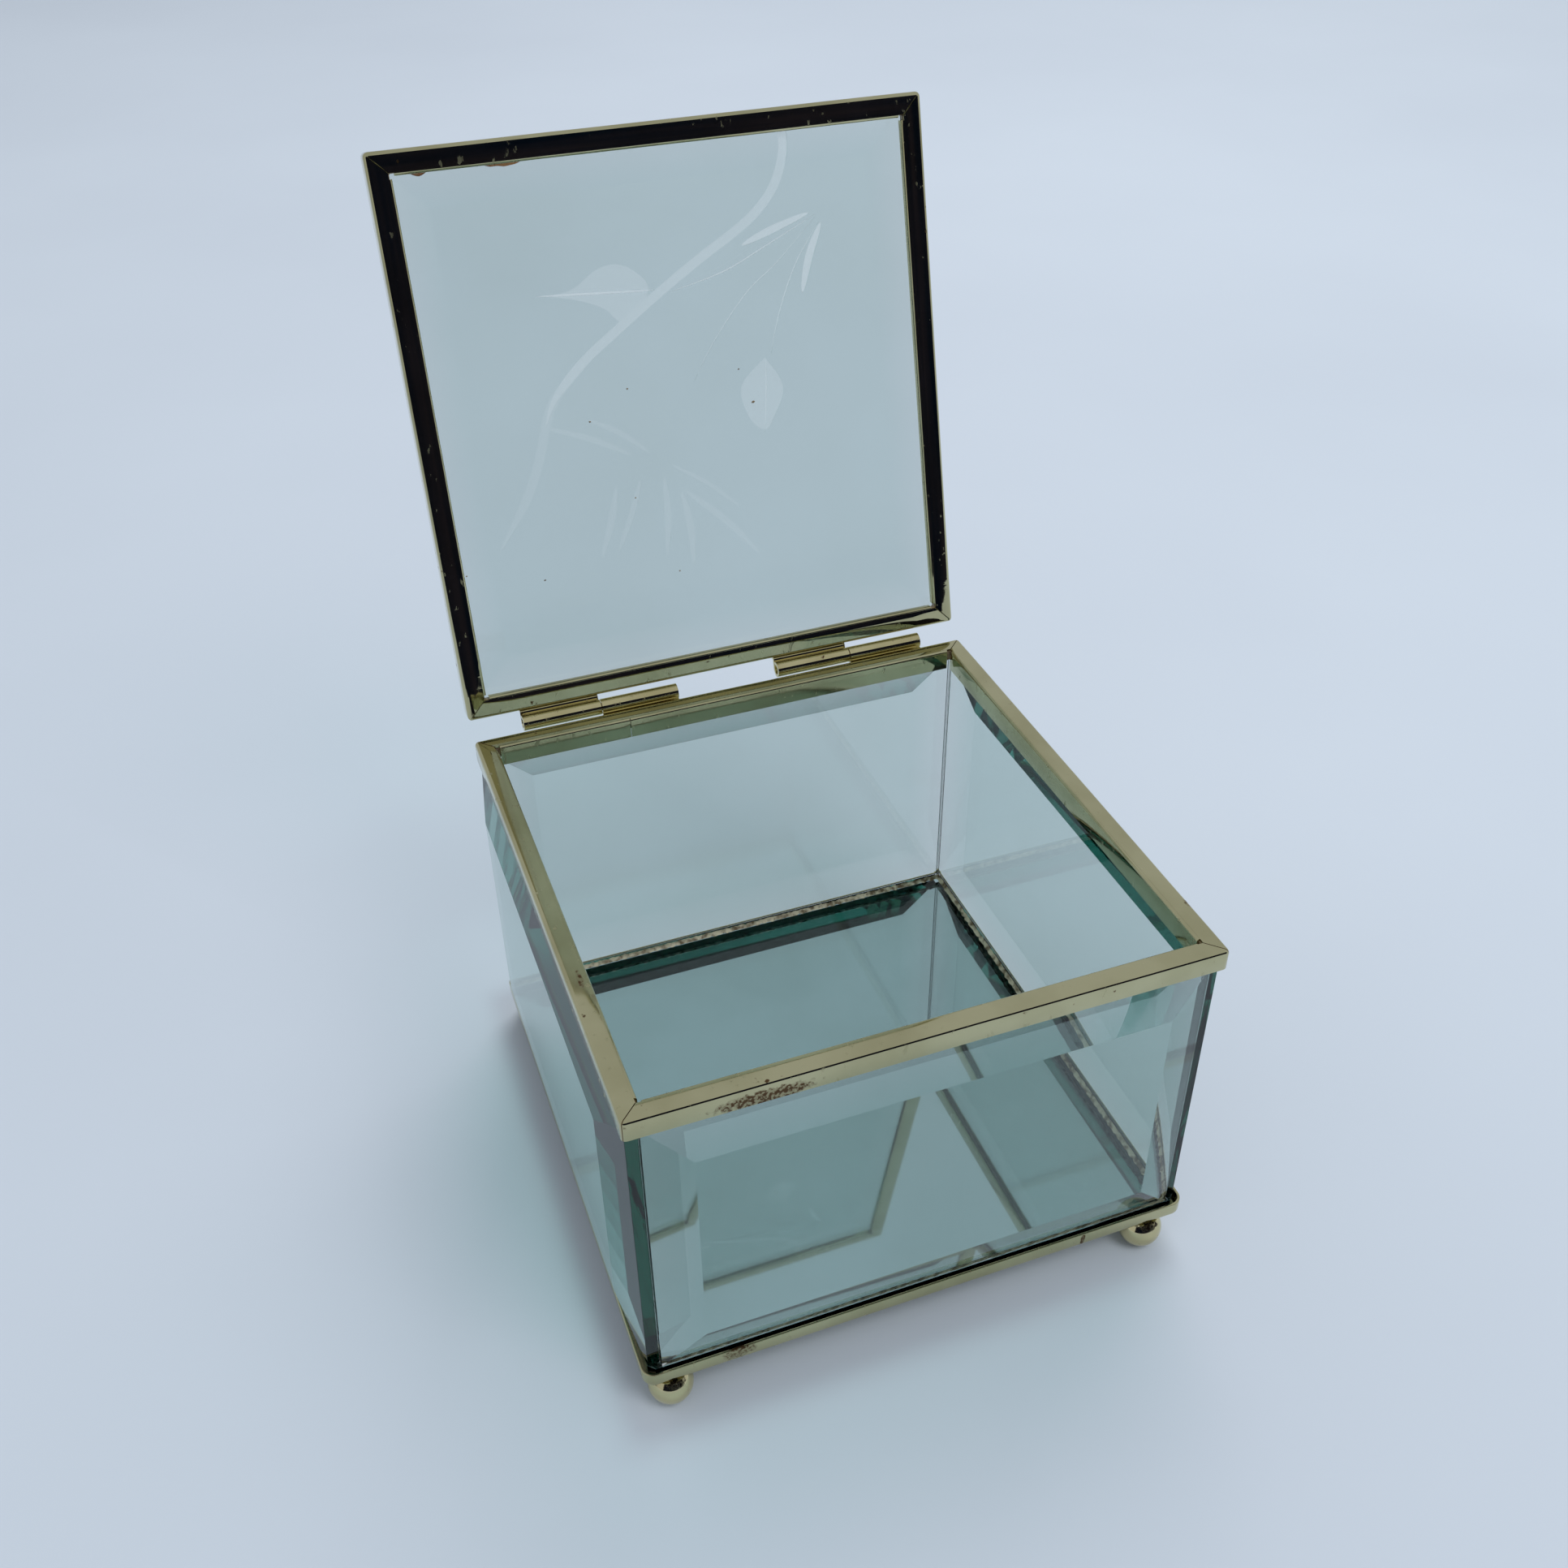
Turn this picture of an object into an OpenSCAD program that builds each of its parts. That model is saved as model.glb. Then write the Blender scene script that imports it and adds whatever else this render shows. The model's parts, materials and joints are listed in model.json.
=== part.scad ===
// Bevelled glass casket with a brass rim, a hinged glass lid and four ball feet.
// The lid is drawn open, leaning back, which is its place at rest.
// X runs left to right, Y front to back, Z up. The feet stand on Z = 0.

/* [Glass walls] */
// Height of the four glass walls
wall_h = 59.6; // [40:0.1:90]
// Thickness of the glass inside its bevels
glass_t = 4.4; // [4:0.1:6]
// Thickness left at a bevelled edge
edge_t = 2.1; // [1.6:0.05:2.2]
// Thickness left at the top edge of a wall, thin enough to enter the rim
top_edge_t = 1.85; // [1.4:0.05:1.9]
// Width of the bevel along an upright edge of the front and back walls
front_bevel_w = 7.5; // [6:0.1:14]
// Width of the bevel along an upright edge of the side walls
side_bevel_w = 10.4; // [6:0.1:14]
// Width of the bevel along the top and the bottom edge of a wall
end_bevel_w = 8.4; // [8:0.1:14]
// How far a side wall reaches past the inner face of the front or back wall
side_reach = 1.1; // [0.6:0.1:1.6]
// Thickness of the glue film in each upright corner joint
seam_t = 0.1; // [0.05:0.01:0.2]

/* [Rim] */
// Outer width of the brass rim
rim_w = 102.4; // [95:0.1:130]
// Outer depth of the brass rim
rim_d = 102.8; // [95:0.1:130]
// Thickness of the sheet brass in the rim and the lid frame
sheet_t = 0.4; // [0.3:0.05:0.5]
// Width of the rim's flat top flange
rim_flange_w = 3.8; // [3.6:0.1:5]
// Height of the rim's outer leg, flange included
rim_leg_h = 3.9; // [3:0.1:6]
// Height of the rim's inner leg, flange included
rim_lip_h = 4.2; // [3:0.1:6]
// Distance from the rim's outer face in to the inner face of a glass wall
wall_inset = 2.75; // [2.7:0.05:2.9]
// How far the walls reach up into the rim
wall_grip = 1.5; // [1:0.1:1.6]
// Radius of the rim's and the lid frame's upright corners
corner_r = 0.9; // [0.5:0.1:1.5]
// Side of the square notch cut where two inner legs meet
corner_notch = 0.9; // [0.5:0.1:1.2]

/* [Base tray and mirror] */
// How far the tray stands out past the rim on every side
tray_overhang = 0.6; // [0.4:0.05:1.5]
// Height of the tray, floor included
tray_h = 3.1; // [2:0.1:3.1]
// Thickness of the tray's sheet brass
tray_sheet_t = 0.5; // [0.4:0.05:0.8]
// Outer radius of the tray's corners
tray_corner_r = 2.3; // [2:0.1:3.2]
// Thickness of the mirror's glass
mirror_t = 2.6; // [2.6:0.1:4]
// Thickness of the silvering and its backing paint
silvering_t = 0.1; // [0.05:0.01:0.2]
// Gap between the mirror's edge and the tray's wall
mirror_gap = 0.7; // [0.5:0.05:1]
// Thickness of the glue that each wall stands on
foot_glue_t = 0.05; // [0.02:0.01:0.2]
// Size of the nip off each corner of the mirror
mirror_nip = 1.2; // [0.8:0.1:2]
// Leg of the glue bead along the foot of the walls
bead_leg = 1.1; // [0.5:0.1:1.1]

/* [Feet] */
// Diameter of a ball foot
foot_d = 8; // [6:0.1:10]
// Depth of the flat where a foot is soldered to the tray
foot_seat_cut = 0.85; // [0.1:0.05:1]
// Depth of the worn flat that a foot stands on
foot_ground_cut = 0.1; // [0.1:0.01:0.4]
// Distance from the tray's side to the middle of a foot
foot_inset_x = 6.1; // [3:0.1:20]
// Distance from the tray's front or back to the middle of a foot
foot_inset_y = 2.5; // [2:0.1:20]
// How far the feet sit to the right of the middle, less than 0 for the left
foot_shift = -1.1; // [-2:0.1:2]

/* [Lid] */
// Angle that the lid opens to, measured from closed
lid_open_angle = 104.5; // [95:0.1:110]
// Gap between the closed lid and the rim
lid_gap = 0.15; // [0.1:0.01:0.4]
// Width of the lid frame's flat flange, which lies on the rim when closed
lid_flange_w = 4.2; // [3.6:0.1:6]
// Height of the lid frame's outer leg, flange included
lid_leg_h = 4; // [3.8:0.1:6]
// Height of the lid frame's inner leg, which carries the lid glass
lid_lip_h = 1.5; // [1:0.1:2]
// Width of the bevel round the lid glass
lid_bevel_w = 9.4; // [6:0.1:14]
// Gap between the lid glass and the lid frame's outer leg
lid_glass_gap = 0.3; // [0.1:0.05:0.6]

/* [Hinges] */
// Distance from the rim's side to the middle of a hinge
hinge_inset = 24.9; // [22:0.1:27]
// How far the pair of hinges sits to the right of the middle
hinge_shift = 0.9; // [-2:0.1:2]
// Length of one knuckle
knuckle_l = 15.6; // [8:0.1:18]
// Outer diameter of a knuckle
knuckle_d = 3.1; // [2.8:0.1:3.4]
// Gap between the two knuckles of a hinge
knuckle_gap = 0.2; // [0.1:0.05:0.5]
// Diameter of a hinge pin
pin_d = 1.5; // [1:0.1:1.6]
// Clearance round a hinge pin, on the radius
pin_clearance = 0.05; // [0.03:0.01:0.08]
// How far a pin's ends lie inside its knuckles
pin_recess = 1; // [0.2:0.1:3]
// Distance from the rim's back face to the hinge axis
axis_out = 2.4; // [2.4:0.1:3.5]
// Thickness of a hinge leaf
leaf_t = 0.6; // [0.4:0.05:0.6]
// Height of the leaf that is soldered to the brass, below or above its web
leaf_h = 2.2; // [1:0.1:2.2]

/* [Hidden] */

// Facets on round work
$fn = 48;
// A cutter reaches this far past the faces that it opens
past = 1;

// Inside of the box, between the glass walls
cavity_w = rim_w - 2 * wall_inset;
cavity_d = rim_d - 2 * wall_inset;
// The front and back walls stand between the side walls, with a film of glue at each end
front_w = cavity_w - 2 * seam_t;
side_w = cavity_d + 2 * side_reach;

// Tray and mirror in plan
tray_w = rim_w + 2 * tray_overhang;
tray_d = rim_d + 2 * tray_overhang;
mirror_w = tray_w - 2 * (tray_sheet_t + mirror_gap);
mirror_d = tray_d - 2 * (tray_sheet_t + mirror_gap);

// Heights, from the ground up
foot_middle_z = foot_d / 2 - foot_ground_cut;
tray_z = foot_d - foot_ground_cut - foot_seat_cut;
silvering_z = tray_z + tray_sheet_t;
mirror_z = silvering_z + silvering_t;
mirror_top_z = mirror_z + mirror_t;
wall_z = mirror_top_z + foot_glue_t;
wall_top_z = wall_z + wall_h;
rim_top_z = wall_top_z - wall_grip + rim_leg_h;
lid_z = rim_top_z + lid_gap;

// The hinge axis lies level with the seam between rim and lid, behind the rim
axis_y = rim_d / 2 + axis_out;
axis_z = rim_top_z + lid_gap / 2;

// Lid glass in plan, and the height of its underside above the lid's underside
lid_glass_w = rim_w - 2 * (sheet_t + lid_glass_gap);
lid_glass_d = rim_d - 2 * (sheet_t + lid_glass_gap);

// Furthest points to the back, by the open lid's frame or its glass, and to the front, by a wall or a foot
lid_frame_back_y = axis_y - (axis_out + rim_d) * cos(lid_open_angle)
    + (lid_gap / 2 + lid_leg_h) * sin(lid_open_angle);
lid_glass_back_y = axis_y - (axis_out + rim_d - sheet_t - lid_glass_gap - lid_bevel_w) * cos(lid_open_angle)
    + (lid_gap / 2 + lid_lip_h + glass_t) * sin(lid_open_angle);
back_y = max(lid_frame_back_y, lid_glass_back_y);
front_y = -max(cavity_d / 2 + glass_t, tray_d / 2 - foot_inset_y + foot_d / 2);
// The whole object is centred on the origin, open lid included
middle_y = (back_y + front_y) / 2;

module centred() {
    translate([0, -middle_y, 0]) children();
}

// Turns what is drawn closed back about the hinge axis
module opened() {
    translate([0, axis_y, axis_z]) rotate([-lid_open_angle, 0, 0]) translate([0, -axis_y, -axis_z]) children();
}

// A flat rectangle with round corners
module rounded_plate(w, d, r, h) {
    linear_extrude(h) {
        square([w - 2 * r, d], center = true);
        square([w, d - 2 * r], center = true);
        for (x = [-1, 1], y = [-1, 1]) translate([x * (w / 2 - r), y * (d / 2 - r)]) circle(r);
    }
}

module block(w, d, h) {
    translate([-w / 2, -d / 2, 0]) cube([w, d, h]);
}

// A square frame of brass channel, flange down. Its inner legs stop short of each other at the corners.
module channel(flange_w, leg_h, lip_h) {
    lip_w = rim_w - 2 * (flange_w - sheet_t);
    lip_d = rim_d - 2 * (flange_w - sheet_t);
    hole_w = rim_w - 2 * flange_w;
    hole_d = rim_d - 2 * flange_w;
    difference() {
        rounded_plate(rim_w, rim_d, corner_r, leg_h);
        translate([0, 0, sheet_t]) block(rim_w - 2 * sheet_t, rim_d - 2 * sheet_t, leg_h);
        translate([0, 0, -past]) block(hole_w, hole_d, leg_h + 2 * past);
    }
    difference() {
        block(lip_w, lip_d, lip_h);
        translate([0, 0, -past]) block(hole_w, hole_d, lip_h + 2 * past);
        for (x = [-1, 1], y = [-1, 1])
            translate([x * lip_w / 2, y * lip_d / 2, sheet_t]) block(2 * corner_notch, 2 * corner_notch, lip_h);
    }
}

// The ring of glue in the bottom of a channel
module channel_fill(flange_w, h) {
    difference() {
        block(rim_w - 2 * sheet_t, rim_d - 2 * sheet_t, h);
        translate([0, 0, -past]) block(rim_w - 2 * (flange_w - sheet_t), rim_d - 2 * (flange_w - sheet_t),
            h + 2 * past);
    }
}

// A bevelled panel: its flat face at Y = 0, its bevelled face towards +Y, its lower edge at Z = 0
module bevelled_panel(w, h, side_bevel, end_bevel, top_t) {
    intersection() {
        linear_extrude(h) polygon([
            [-w / 2, 0], [w / 2, 0], [w / 2, edge_t],
            [w / 2 - side_bevel, glass_t], [side_bevel - w / 2, glass_t], [-w / 2, edge_t]]);
        rotate([90, 0, 90]) translate([0, 0, -w / 2]) linear_extrude(w) polygon([
            [0, 0], [edge_t, 0], [glass_t, end_bevel], [glass_t, h - end_bevel], [top_t, h], [0, h]]);
    }
}

// A wall stands on the mirror and faces out at the given turn about Z
module wall(w, side_bevel, turn, out) {
    color("#a9d6cf") centred() translate([0, 0, wall_z]) rotate([0, 0, turn]) translate([0, out, 0])
        bevelled_panel(w, wall_h, side_bevel, end_bevel_w, top_edge_t);
}

// The glue film between an end of the front or back wall and the side wall beside it
module seam(x_side, y_side) {
    film_h = wall_h - wall_grip;
    color("#dfeee6") centred()
        translate([x_side * (cavity_w - seam_t) / 2, y_side * (cavity_d + side_reach) / 2, wall_z])
            block(seam_t, side_reach, film_h);
}

// A ball foot, flat where it is soldered on and where it stands
module foot(x_side, y_side) {
    color("#d8c27a") centred()
        translate([foot_shift + x_side * (tray_w / 2 - foot_inset_x), y_side * (tray_d / 2 - foot_inset_y), 0])
            intersection() {
                translate([0, 0, foot_middle_z]) sphere(d = foot_d);
                block(2 * foot_d, 2 * foot_d, tray_z);
            }
}

module base_tray() {
    color("#d8c27a") centred() translate([0, 0, tray_z]) difference() {
        rounded_plate(tray_w, tray_d, tray_corner_r, tray_h);
        translate([0, 0, tray_sheet_t]) rounded_plate(tray_w - 2 * tray_sheet_t, tray_d - 2 * tray_sheet_t,
            tray_corner_r - tray_sheet_t, tray_h);
    }
}

// Outline of the mirror, with its corners nipped off
module mirror_sheet(h) {
    linear_extrude(h) polygon([
        [mirror_nip - mirror_w / 2, -mirror_d / 2], [mirror_w / 2 - mirror_nip, -mirror_d / 2],
        [mirror_w / 2, mirror_nip - mirror_d / 2], [mirror_w / 2, mirror_d / 2 - mirror_nip],
        [mirror_w / 2 - mirror_nip, mirror_d / 2], [mirror_nip - mirror_w / 2, mirror_d / 2],
        [-mirror_w / 2, mirror_d / 2 - mirror_nip], [-mirror_w / 2, mirror_nip - mirror_d / 2]]);
}

module mirror_silvering() {
    color("#8f9499") centred() translate([0, 0, silvering_z]) mirror_sheet(silvering_t);
}

module mirror_glass() {
    color("#9fc4c4") centred() translate([0, 0, mirror_z]) mirror_sheet(mirror_t);
}

// A bead of glue in the corner between the mirror and each wall
module mirror_bead() {
    color("#c9bd93") centred() translate([0, 0, mirror_top_z]) for (turn = [0 : 90 : 270]) {
        along = turn % 180 == 0 ? cavity_w : cavity_d;
        out = turn % 180 == 0 ? cavity_d / 2 : cavity_w / 2;
        rotate([0, 0, turn]) translate([-along / 2, out, 0]) rotate([90, 0, 90]) linear_extrude(along)
            polygon([[0, 0], [0, bead_leg], [-bead_leg, 0]]);
    }
}

module rim_frame() {
    color("#d2bd76") centred() translate([0, 0, rim_top_z]) mirror([0, 0, 1])
        channel(rim_flange_w, rim_leg_h, rim_lip_h);
}

module rim_bedding() {
    color("#b9ab86") centred() translate([0, 0, wall_top_z])
        channel_fill(rim_flange_w, rim_top_z - sheet_t - wall_top_z);
}

module lid_frame() {
    color("#d2bd76") centred() opened() translate([0, 0, lid_z]) channel(lid_flange_w, lid_leg_h, lid_lip_h);
}

module lid_bedding() {
    color("#b9ab86") centred() opened() translate([0, 0, lid_z + sheet_t])
        channel_fill(lid_flange_w, lid_lip_h - sheet_t);
}

module lid_glass() {
    color("#a9d6cf") centred() opened() translate([0, lid_glass_d / 2, lid_z + lid_lip_h]) rotate([90, 0, 0])
        bevelled_panel(lid_glass_w, lid_glass_d, lid_bevel_w, lid_bevel_w, edge_t);
}

// Middle of a hinge, left (-1) or right (1)
function hinge_x(side) = hinge_shift + side * (rim_w / 2 - hinge_inset);

// A rolled knuckle along +X with its web and soldered leaf hanging below it.
// The hinge axis is the X axis, and the leaf's soldered face lies at Y = -axis_out.
module leaf() {
    difference() {
        union() {
            rotate([0, 90, 0]) cylinder(d = knuckle_d, h = knuckle_l);
            translate([0, -axis_out, -knuckle_d / 2]) cube([knuckle_l, axis_out, leaf_t]);
            translate([0, -axis_out, -knuckle_d / 2 - leaf_h]) cube([knuckle_l, leaf_t, leaf_h + leaf_t]);
        }
        translate([-past, 0, 0]) rotate([0, 90, 0])
            cylinder(d = pin_d + 2 * pin_clearance, h = knuckle_l + 2 * past);
    }
}

// The rim's leaf has the right knuckle of its hinge
module rim_leaf(side) {
    color("#d8c27a") centred() translate([hinge_x(side) + knuckle_gap / 2, axis_y, axis_z]) leaf();
}

// The lid's leaf has the left knuckle, and is the same leaf upside down
module lid_leaf(side) {
    color("#d8c27a") centred() opened()
        translate([hinge_x(side) - knuckle_gap / 2 - knuckle_l, axis_y, axis_z]) mirror([0, 0, 1]) leaf();
}

module hinge_pin(side) {
    pin_l = 2 * (knuckle_l - pin_recess) + knuckle_gap;
    color("#b5a76e") centred() translate([hinge_x(side) - pin_l / 2, axis_y, axis_z]) rotate([0, 90, 0])
        cylinder(d = pin_d, h = pin_l);
}

base_tray();
foot(-1, -1);  // foot_front_left
foot(1, -1);  // foot_front_right
foot(-1, 1);  // foot_back_left
foot(1, 1);  // foot_back_right
mirror_silvering();
mirror_glass();
mirror_bead();
wall(front_w, front_bevel_w, 180, cavity_d / 2);  // glass_front
wall(front_w, front_bevel_w, 0, cavity_d / 2);  // glass_back
wall(side_w, side_bevel_w, 90, cavity_w / 2);  // glass_left
wall(side_w, side_bevel_w, -90, cavity_w / 2);  // glass_right
seam(-1, -1);  // seam_front_left
seam(1, -1);  // seam_front_right
seam(-1, 1);  // seam_back_left
seam(1, 1);  // seam_back_right
rim_bedding();
rim_frame();
rim_leaf(-1);  // hinge_left_rim_leaf
lid_leaf(-1);  // hinge_left_lid_leaf
hinge_pin(-1);  // hinge_left_pin
rim_leaf(1);  // hinge_right_rim_leaf
lid_leaf(1);  // hinge_right_lid_leaf
hinge_pin(1);  // hinge_right_pin
lid_frame();
lid_bedding();
lid_glass();
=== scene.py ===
# %% [markdown]
# # A bevelled glass casket in Blender
# This lesson dresses a small glass box: four bevelled glass walls on a mirror in a brass tray, a brass rim,
# and a lid of bevelled glass that leans open on two little hinges. The solid model gives every size. Here
# each piece gets its real edges, its finish and its wear.

# %% Load the solid model
import json
import math

import bmesh
import bpy
from mathutils import Matrix, Vector, noise


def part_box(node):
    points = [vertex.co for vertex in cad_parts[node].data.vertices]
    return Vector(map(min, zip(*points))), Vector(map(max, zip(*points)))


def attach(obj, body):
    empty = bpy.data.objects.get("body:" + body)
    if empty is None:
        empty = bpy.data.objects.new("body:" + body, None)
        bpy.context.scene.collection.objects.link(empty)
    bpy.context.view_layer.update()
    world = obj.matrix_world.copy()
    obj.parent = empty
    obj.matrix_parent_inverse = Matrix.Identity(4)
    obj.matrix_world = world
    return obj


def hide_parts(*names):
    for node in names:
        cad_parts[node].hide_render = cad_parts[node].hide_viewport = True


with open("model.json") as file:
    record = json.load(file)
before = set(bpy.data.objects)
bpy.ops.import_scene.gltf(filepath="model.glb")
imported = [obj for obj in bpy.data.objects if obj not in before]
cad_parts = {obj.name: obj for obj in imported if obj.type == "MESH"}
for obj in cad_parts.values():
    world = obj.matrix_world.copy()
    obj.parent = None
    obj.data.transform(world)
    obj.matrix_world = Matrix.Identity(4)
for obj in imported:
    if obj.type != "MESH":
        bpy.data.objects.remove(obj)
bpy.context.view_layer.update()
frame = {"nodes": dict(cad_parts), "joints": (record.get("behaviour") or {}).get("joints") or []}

MM = 0.001
node_box = {name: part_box(name) for name in frame["nodes"]}

# %% [markdown]
# ## Where things are
# Hardly anything is measured twice. The rim, the tray, the feet, the glass and the hinge line are read from
# the solid model's own pieces, so the dressing still fits if a size there changes. The lid is modelled
# lying closed, which is the easy way to think about it, and is then swung open about the hinge line.

# %% Sizes that the pieces share
tray_low, tray_high = node_box["base_tray"]
rim_low, rim_high = node_box["rim_frame"]
middle_y = (rim_low.y + rim_high.y) / 2
half_w = (rim_high.x - rim_low.x) / 2
half_d = (rim_high.y - rim_low.y) / 2
sheet_t = 0.4 * MM
hinge = frame["joints"][0]
hinge_point = Vector(hinge["pos_m"])
open_angle = math.radians(max(hinge["range_deg"], key=abs))
swing_open = (Matrix.Translation(hinge_point) @ Matrix.Rotation(-open_angle, 4, "X")
              @ Matrix.Translation(-hinge_point))
half_lid_gap = 0.075 * MM
lid_z = hinge_point.z + half_lid_gap
as_drawn = Matrix.Identity(4)
corner_signs = ((1, 1), (-1, 1), (-1, -1), (1, -1))


def add_object(name, data):
    """Put a mesh, a lamp or a camera into the scene as an object."""
    thing = bpy.data.objects.new(name, data)
    bpy.context.scene.collection.objects.link(thing)
    return thing


def four_sides(half_x, half_y):
    """For each side of a square: its turn in degrees, how far out it lies, and half its length."""
    return ((0, half_y, half_x), (90, half_x, half_y), (180, half_y, half_x), (270, half_x, half_y))


print("rim", round(2 * half_w / MM, 1), "by", round(2 * half_d / MM, 1), "mm, lid opens",
      round(math.degrees(open_angle), 1), "degrees")

# %% [markdown]
# ## Materials
# Brass plate is a pale gold metal, but it isn't even: fingers leave it duller in patches, it is scratched
# along its length, and brown spots grow where the lacquer failed. All of that is noise of different sizes,
# mixed into the colour, the roughness and a very small bump. Every pattern uses object coordinates, so it
# stays on the piece when the lid swings.

# %% Node helpers
def new_material(name):
    material = bpy.data.materials.new(name)
    material.use_nodes = True
    tree = material.node_tree
    for node in list(tree.nodes):
        tree.nodes.remove(node)
    output = tree.nodes.new("ShaderNodeOutputMaterial")
    where = tree.nodes.new("ShaderNodeTexCoord").outputs["Object"]
    return material, tree, output, where


def add_node(tree, kind, inputs=(), **settings):
    node = tree.nodes.new(kind)
    for key, value in settings.items():
        setattr(node, key, value)
    for key, value in dict(inputs).items():
        if isinstance(value, bpy.types.NodeSocket):
            tree.links.new(value, node.inputs[key])
        else:
            node.inputs[key].default_value = value
    return node


def noise_mask(tree, where, scale, low, high, detail=4.0, stretch=(1, 1, 1)):
    """A mask that goes from 0 to 1 as the noise goes from low to high."""
    mapping = add_node(tree, "ShaderNodeMapping", {"Vector": where, "Scale": stretch})
    pattern = add_node(tree, "ShaderNodeTexNoise",
                       {"Vector": mapping.outputs[0], "Scale": scale, "Detail": detail})
    ramp = add_node(tree, "ShaderNodeMapRange",
                    {"Value": pattern.outputs["Fac"], "From Min": low, "From Max": high})
    return ramp.outputs[0]


def mix_colours(tree, amount, first, second):
    """The mix node keeps its colours in inputs 6 and 7, and gives the mixed colour in output 2."""
    mixer = add_node(tree, "ShaderNodeMix", {0: amount, 6: first, 7: second}, data_type="RGBA")
    return mixer.outputs[2]


def bigger_of(tree, first, second):
    return add_node(tree, "ShaderNodeMath", {0: first, 1: second}, operation="MAXIMUM").outputs[0]


def blot(tree, where, place, reach, strength):
    """A ragged, broken spot round a place, as far across as reach on each axis, all in metres."""
    raggedness = 1.4
    full_inside = 1.35
    gone_outside = 1.65
    least_cover = 0.3
    ragged = add_node(tree, "ShaderNodeTexNoise", {"Vector": where, "Scale": 900.0, "Detail": 5.0})
    offset = add_node(tree, "ShaderNodeVectorMath", {0: where, 1: place}, operation="SUBTRACT")
    scaled = add_node(tree, "ShaderNodeVectorMath", {0: offset.outputs[0], 1: reach}, operation="DIVIDE")
    far = add_node(tree, "ShaderNodeVectorMath", {0: scaled.outputs[0]}, operation="LENGTH")
    edge = add_node(tree, "ShaderNodeMath",
                    {0: ragged.outputs["Fac"], 1: raggedness, 2: far.outputs["Value"]},
                    operation="MULTIPLY_ADD")
    spot = add_node(tree, "ShaderNodeMapRange",
                    {"Value": edge.outputs[0], "From Min": gone_outside, "From Max": full_inside})
    holes = noise_mask(tree, where, scale=1500, low=0.44, high=0.58)
    broken = add_node(tree, "ShaderNodeMapRange",
                      {"Value": holes, "To Min": least_cover * strength, "To Max": strength})
    return add_node(tree, "ShaderNodeMath", {0: spot.outputs[0], 1: broken.outputs[0]},
                    operation="MULTIPLY").outputs[0]


# %% Brass
brown_stain = (0.13, 0.075, 0.035, 1)
black_patch = (0.025, 0.016, 0.012, 1)


def mitre_dirt(tree, where):
    """A mask of the dirt that sits in the four mitres of a frame that lies level."""
    dirt_reach = 0.11 * MM
    offset = add_node(tree, "ShaderNodeVectorMath", {0: where, 1: (0, middle_y, 0)}, operation="SUBTRACT")
    apart = add_node(tree, "ShaderNodeVectorMath", {0: offset.outputs[0]}, operation="ABSOLUTE")
    axes = add_node(tree, "ShaderNodeSeparateXYZ", {0: apart.outputs[0]})
    beside = add_node(tree, "ShaderNodeMath", {0: axes.outputs["X"], 1: axes.outputs["Y"]},
                      operation="SUBTRACT")
    on_mitre = add_node(tree, "ShaderNodeMath", {0: beside.outputs[0], 1: half_w - half_d, 2: dirt_reach},
                        operation="COMPARE")
    return on_mitre.outputs[0]


def make_brass(name, polished, dull, spot_share, blots=(), mark_colour=brown_stain, roughest=0.13, mitred=False):
    """Lacquered brass. The more the spot_share, the more pits, and each blot is one larger patch; both take
    mark_colour.
    """
    smoothest = roughest * 0.4
    worn_roughness = 0.35
    material, tree, output, where = new_material(name)
    patches = noise_mask(tree, where, scale=55, low=0.38, high=0.68)
    streaks = noise_mask(tree, where, scale=700, low=0.50, high=0.80, stretch=(0.08, 0.08, 1.0))
    pits = noise_mask(tree, where, scale=520, low=0.72 - spot_share, high=0.77 - spot_share, detail=6)
    dark_marks = pits
    for place, reach, strength in blots:
        dark_marks = bigger_of(tree, dark_marks, blot(tree, where, place, reach, strength))
    if mitred:
        dark_marks = bigger_of(tree, dark_marks, mitre_dirt(tree, where))
    colour = mix_colours(tree, patches, polished, dull)
    colour = mix_colours(tree, dark_marks, colour, mark_colour)
    rough_patches = add_node(tree, "ShaderNodeMapRange",
                             {"Value": patches, "To Min": smoothest, "To Max": roughest})
    scuffs = noise_mask(tree, where, scale=800, low=0.63, high=0.70, detail=8, stretch=(1, 1, 0.5))
    worn = bigger_of(tree, dark_marks, scuffs)
    rough = add_node(tree, "ShaderNodeMath", {0: worn, 1: worn_roughness, 2: rough_patches.outputs[0]},
                     operation="MULTIPLY_ADD")
    ripple = add_node(tree, "ShaderNodeTexNoise", {"Vector": where, "Scale": 90.0, "Detail": 2.0})
    scratch = add_node(tree, "ShaderNodeBump", {"Height": streaks, "Strength": 0.08, "Distance": 0.02 * MM})
    wave = add_node(tree, "ShaderNodeBump", {"Height": ripple.outputs["Fac"], "Strength": 0.6,
                                             "Distance": 0.06 * MM, "Normal": scratch.outputs[0]})
    shader = add_node(tree, "ShaderNodeBsdfPrincipled",
                      {"Base Color": colour, "Metallic": 1.0, "Roughness": rough.outputs[0],
                       "Normal": wave.outputs[0]})
    tree.links.new(shader.outputs[0], output.inputs["Surface"])
    return material


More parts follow.
